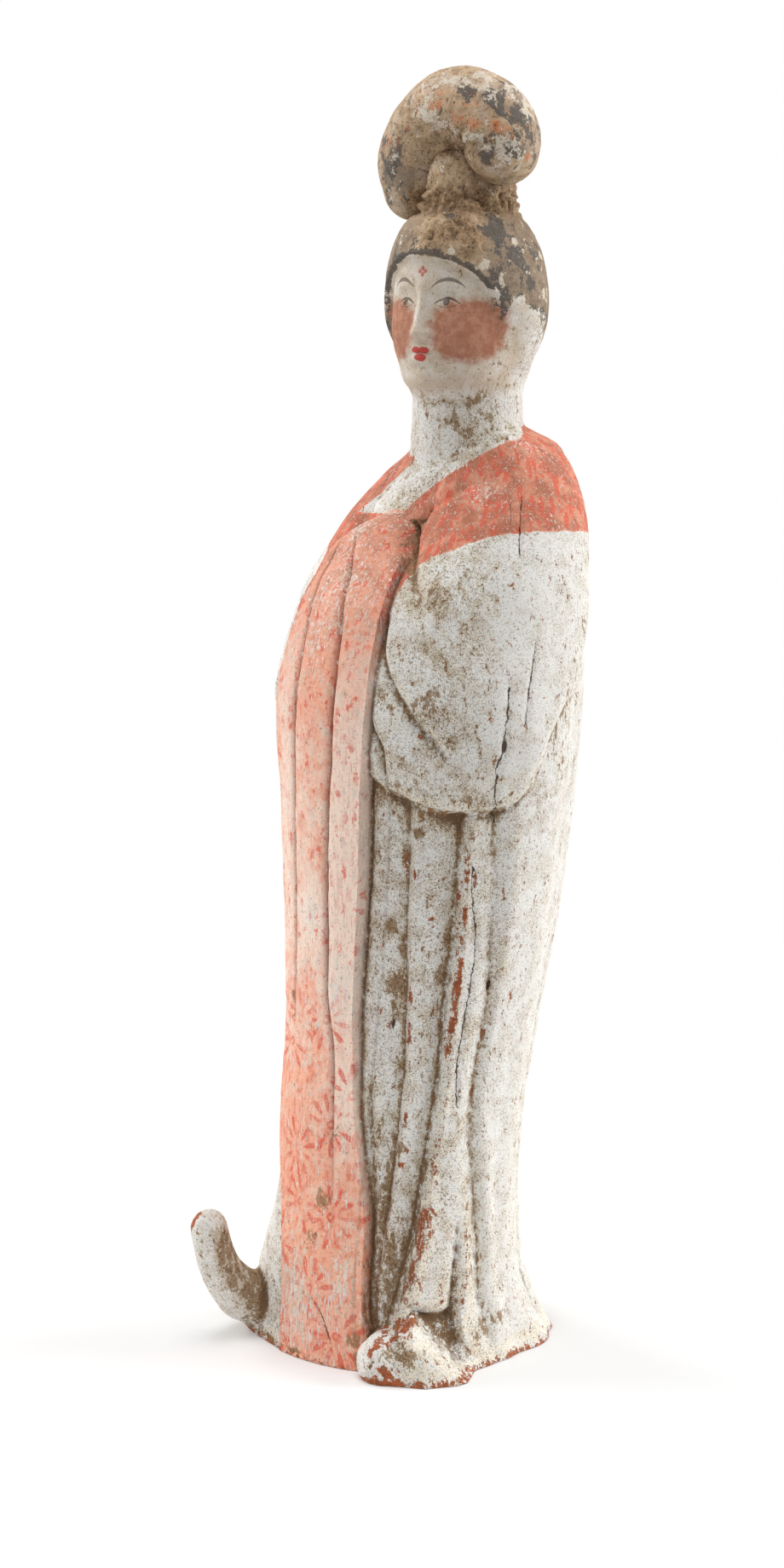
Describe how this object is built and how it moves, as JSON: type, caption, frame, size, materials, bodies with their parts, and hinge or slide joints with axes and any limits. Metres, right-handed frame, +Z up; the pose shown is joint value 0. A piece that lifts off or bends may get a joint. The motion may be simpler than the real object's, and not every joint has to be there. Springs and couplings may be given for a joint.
{
  "type": "tomb attendant figure",
  "caption": "Painted pottery court lady standing with hands clasped under a long hanging cloth, in a high-waisted gown, shawl and wide sleeves, with a tall topknot.",
  "frame": {"origin": "on the ground in the middle of the underside, under the figure's upright axis", "axes": "+Z up the figure, -Y the way it faces, +X its own left side"},
  "size_m": [0.116, 0.1215, 0.4283],
  "materials": {
    "painted_pottery": "matt white slip with salmon-pink and black pigment, worn and dusted with earth"
  },
  "bodies": {
    "root": {"figure": "painted_pottery"}
  },
  "joints": []
}
